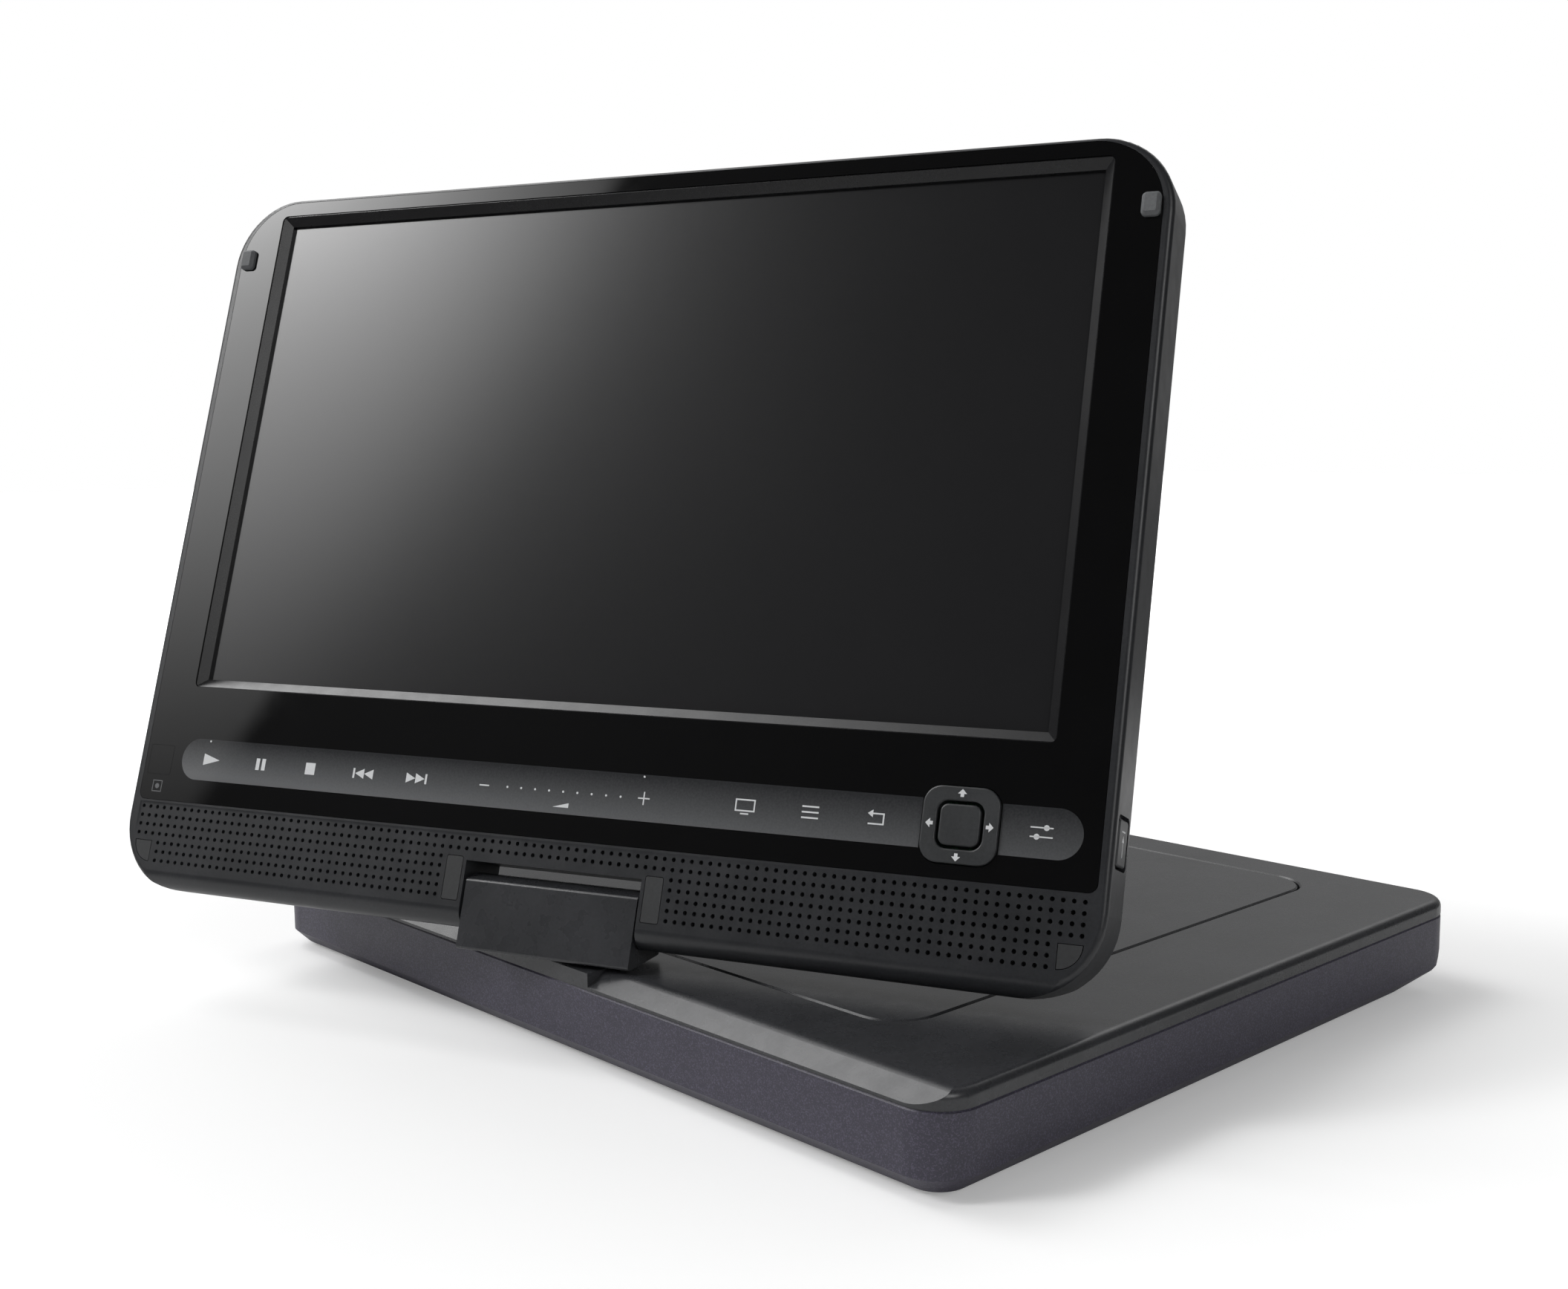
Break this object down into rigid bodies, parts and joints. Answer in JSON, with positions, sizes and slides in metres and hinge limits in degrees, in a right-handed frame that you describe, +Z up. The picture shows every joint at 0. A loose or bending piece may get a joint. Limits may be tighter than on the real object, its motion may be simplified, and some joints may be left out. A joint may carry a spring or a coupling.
{
  "type": "portable dvd player",
  "caption": "Flat portable disc player with a wide screen that swivels and tilts on a rear hinge block, a lift-up disc lid and a touch-key strip.",
  "frame": {"origin": "on the table under the middle of the base, at the foot of the rubber feet", "axes": "+Z up; +X to the right of a user sitting in front; -Y towards that user; the hinge is at the rear (+Y)"},
  "size_m": [0.239, 0.2204, 0.1853],
  "materials": {
    "casing_violet": "satin violet-grey with a fine metallic speckle",
    "cover_charcoal": "matte charcoal, fine grain",
    "bezel_charcoal": "matte charcoal, fine grain",
    "inner_plastic": "moulded black plastic",
    "steel_sheet": "zinc-plated sheet",
    "bright_steel": "ground steel",
    "black_rubber": "soft rubber",
    "pad_rubber": "moulded rubber",
    "bumper_grey": "moulded rubber",
    "lens_glass": "clear lens",
    "battery_wrap": "shrink-wrapped cells",
    "circuit_board": "solder resist",
    "socket_black": "moulded black plastic",
    "piano_black": "high gloss",
    "surround_black": "satin black",
    "screen_glass": "anti-glare dark grey",
    "speaker_black": "paper cone and frame",
    "key_grey": "satin dark grey",
    "black_cloth": "thin acoustic cloth"
  },
  "bodies": {
    "base": {"lower_casing": "casing_violet", "top_cover": "cover_charcoal", "disc_well": "inner_plastic", "traverse_frame": "steel_sheet", "guide_rods": "bright_steel", "frame_dampers": "black_rubber", "spindle_motor": "bright_steel", "sled_motor": "bright_steel", "lid_pins": "bright_steel", "battery_pack": "battery_wrap", "battery_hatch": "casing_violet", "main_board": "circuit_board", "rubber_feet": "black_rubber", "casing_screws": "bright_steel", "socket_plate": "socket_black", "small_jacks": "socket_black", "power_inlet": "socket_black", "hinge_plate": "steel_sheet", "hinge_plate_screws": "bright_steel", "swivel_bushing": "inner_plastic"},
    "spindle": {"turntable": "inner_plastic", "clamp_balls": "bright_steel"},
    "pickup": {"pickup_sled": "inner_plastic", "pickup_lens": "lens_glass"},
    "screw": {"lead_screw": "bright_steel"},
    "lid": {"disc_lid": "cover_charcoal", "lid_arms": "cover_charcoal", "lid_hook": "cover_charcoal"},
    "latch": {"lid_latch": "inner_plastic"},
    "open_key": {"open_button": "cover_charcoal"},
    "switch": {"power_switch": "socket_black"},
    "swivel_block": {"swivel_post": "steel_sheet", "swivel_ring": "steel_sheet", "tilt_shafts": "bright_steel", "tilt_collars": "bright_steel", "hinge_core": "steel_sheet", "block_front_cover": "cover_charcoal", "block_rear_cover": "cover_charcoal"},
    "display": {"bezel": "bezel_charcoal", "speaker_grille": "bezel_charcoal", "grille_cloth": "black_cloth", "screw_covers": "pad_rubber", "corner_covers": "pad_rubber", "gloss_panel": "piano_black", "remote_window": "piano_black", "screen_surround": "surround_black", "lcd_panel": "screen_glass", "lcd_backlight": "steel_sheet", "key_board": "circuit_board", "display_board": "circuit_board", "speakers": "speaker_black", "hinge_brackets": "steel_sheet", "rear_shell": "bezel_charcoal", "shell_screws": "bright_steel", "closing_bumpers": "bumper_grey"},
    "direction_pad": {"direction_key": "key_grey"},
    "enter_pad": {"enter_key": "key_grey"},
    "input_pad": {"input_button": "key_grey"}
  },
  "joints": [
    {"name": "swivel", "type": "hinge", "parent": "base", "child": "swivel_block", "pos_m": [0, 0.0798, 0.02], "axis": [0, 0, 1], "range_deg": [-22.05, 157.95]},
    {"name": "tilt", "type": "hinge", "parent": "swivel_block", "child": "display", "pos_m": [-0.00172, 0.084, 0.02807], "axis": [0.9269, 0.3754, 0], "range_deg": [-109.2, 70.8]},
    {"name": "lid_hinge", "type": "hinge", "parent": "base", "child": "lid", "pos_m": [0, 0.0655, 0.0156], "axis": [-1, 0, 0], "range_deg": [0, 5]},
    {"name": "open_push", "type": "slide", "parent": "base", "child": "open_key", "axis": [0, 0, -1], "range_m": [0, 0.0007], "stiffness_N_per_m": 400},
    {"name": "latch_slide", "type": "slide", "parent": "base", "child": "latch", "axis": [0, -1, 0], "range_m": [0, 0.0007]},
    {"name": "power_slide", "type": "slide", "parent": "base", "child": "switch", "axis": [0, 1, 0], "range_m": [0, 0.005]},
    {"name": "spindle_spin", "type": "hinge", "parent": "base", "child": "spindle", "pos_m": [0, -0.00375, 0.013], "axis": [0, 0, 1], "continuous": true},
    {"name": "pickup_slide", "type": "slide", "parent": "base", "child": "pickup", "axis": [1, 0, 0], "range_m": [0, 0.034]},
    {"name": "screw_spin", "type": "hinge", "parent": "base", "child": "screw", "pos_m": [0.03, 0.02175, 0.0086], "axis": [1, 0, 0], "range_deg": [-10, 4090]},
    {"name": "direction_push", "type": "slide", "parent": "display", "child": "direction_pad", "axis": [0.3545, -0.8753, -0.3289], "range_m": [0, 0.0005], "stiffness_N_per_m": 500},
    {"name": "enter_push", "type": "slide", "parent": "display", "child": "enter_pad", "axis": [0.3545, -0.8753, -0.3289], "range_m": [0, 0.0005], "stiffness_N_per_m": 400},
    {"name": "input_push", "type": "slide", "parent": "display", "child": "input_pad", "axis": [0.9269, 0.3754, 0], "range_m": [0, 0.0005], "stiffness_N_per_m": 400}
  ],
  "couplings": [
    {"joint": "latch_slide", "follows": "open_push", "ratio": 1},
    {"joint": "screw_spin", "follows": "pickup_slide", "rad_per_m": 2094.4}
  ]
}
